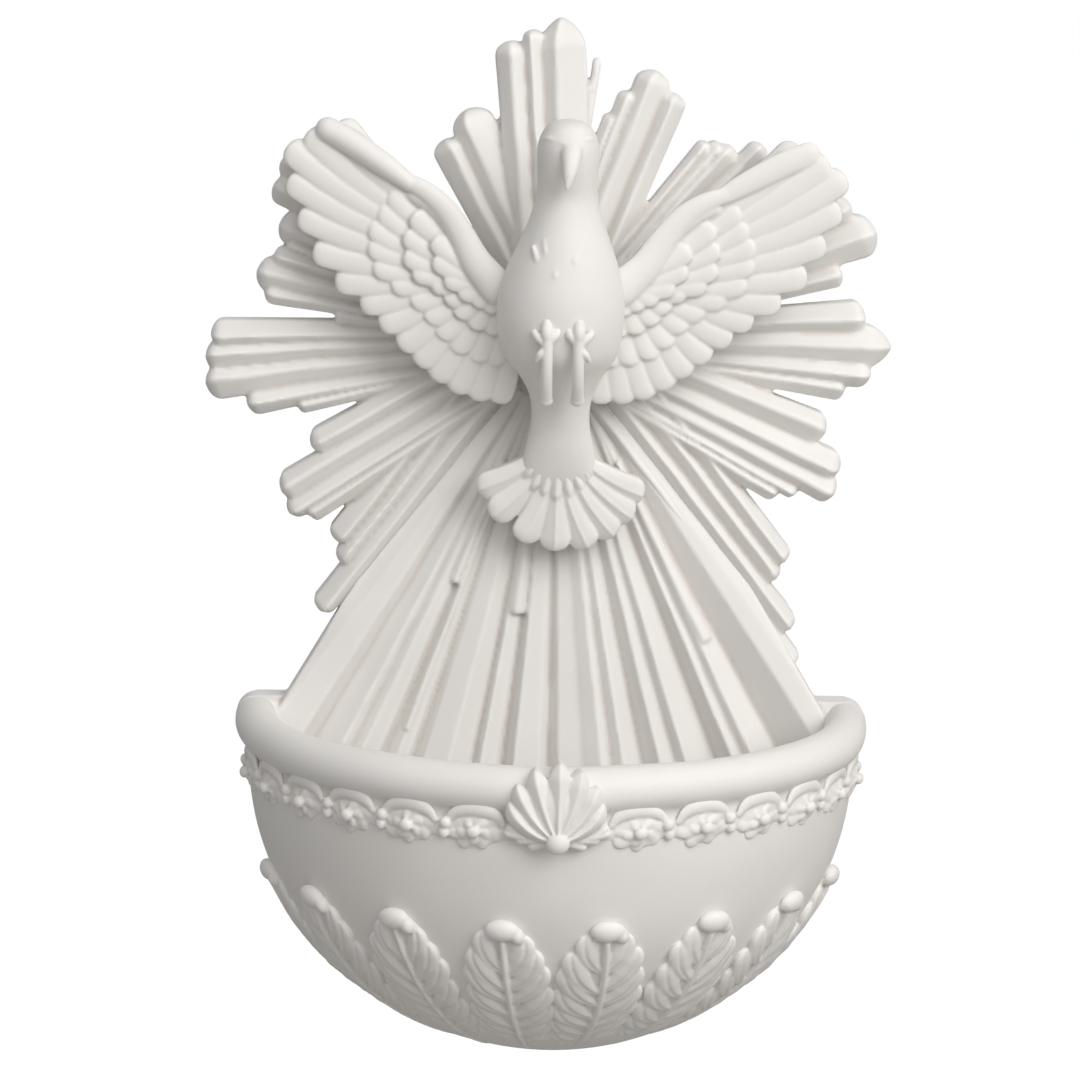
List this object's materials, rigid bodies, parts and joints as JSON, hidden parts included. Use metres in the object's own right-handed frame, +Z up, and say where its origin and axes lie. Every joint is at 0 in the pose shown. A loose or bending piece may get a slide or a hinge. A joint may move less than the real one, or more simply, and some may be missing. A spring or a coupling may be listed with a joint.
{
  "type": "holy water stoup",
  "caption": "Wall-hung holy water stoup: a dove before a sunburst, with a half-round bowl below it.",
  "frame": {"origin": "centre of the keyhole's round entry, on the wall plane", "axes": "+Z up, -Y out of the wall to the front, +X to the right seen from the front"},
  "size_m": [0.139, 0.0747, 0.2115],
  "materials": {
    "cast_marble": "matte",
    "zinc_steel": "satin"
  },
  "bodies": {
    "root": {"sunburst_plate": "cast_marble", "bowl": "cast_marble", "dove_body": "cast_marble", "left_wing": "cast_marble", "right_wing": "cast_marble", "dove_tail": "cast_marble", "left_leg": "cast_marble", "right_leg": "cast_marble", "shell_crest": "cast_marble", "left_garland": "cast_marble", "right_garland": "cast_marble", "acanthus_leaf_1": "cast_marble", "acanthus_leaf_2": "cast_marble", "acanthus_leaf_3": "cast_marble", "acanthus_leaf_4": "cast_marble", "acanthus_leaf_5": "cast_marble", "acanthus_leaf_6": "cast_marble", "acanthus_leaf_7": "cast_marble", "acanthus_leaf_8": "cast_marble", "hanger_plate": "zinc_steel", "hanger_screws": "zinc_steel"}
  },
  "joints": []
}
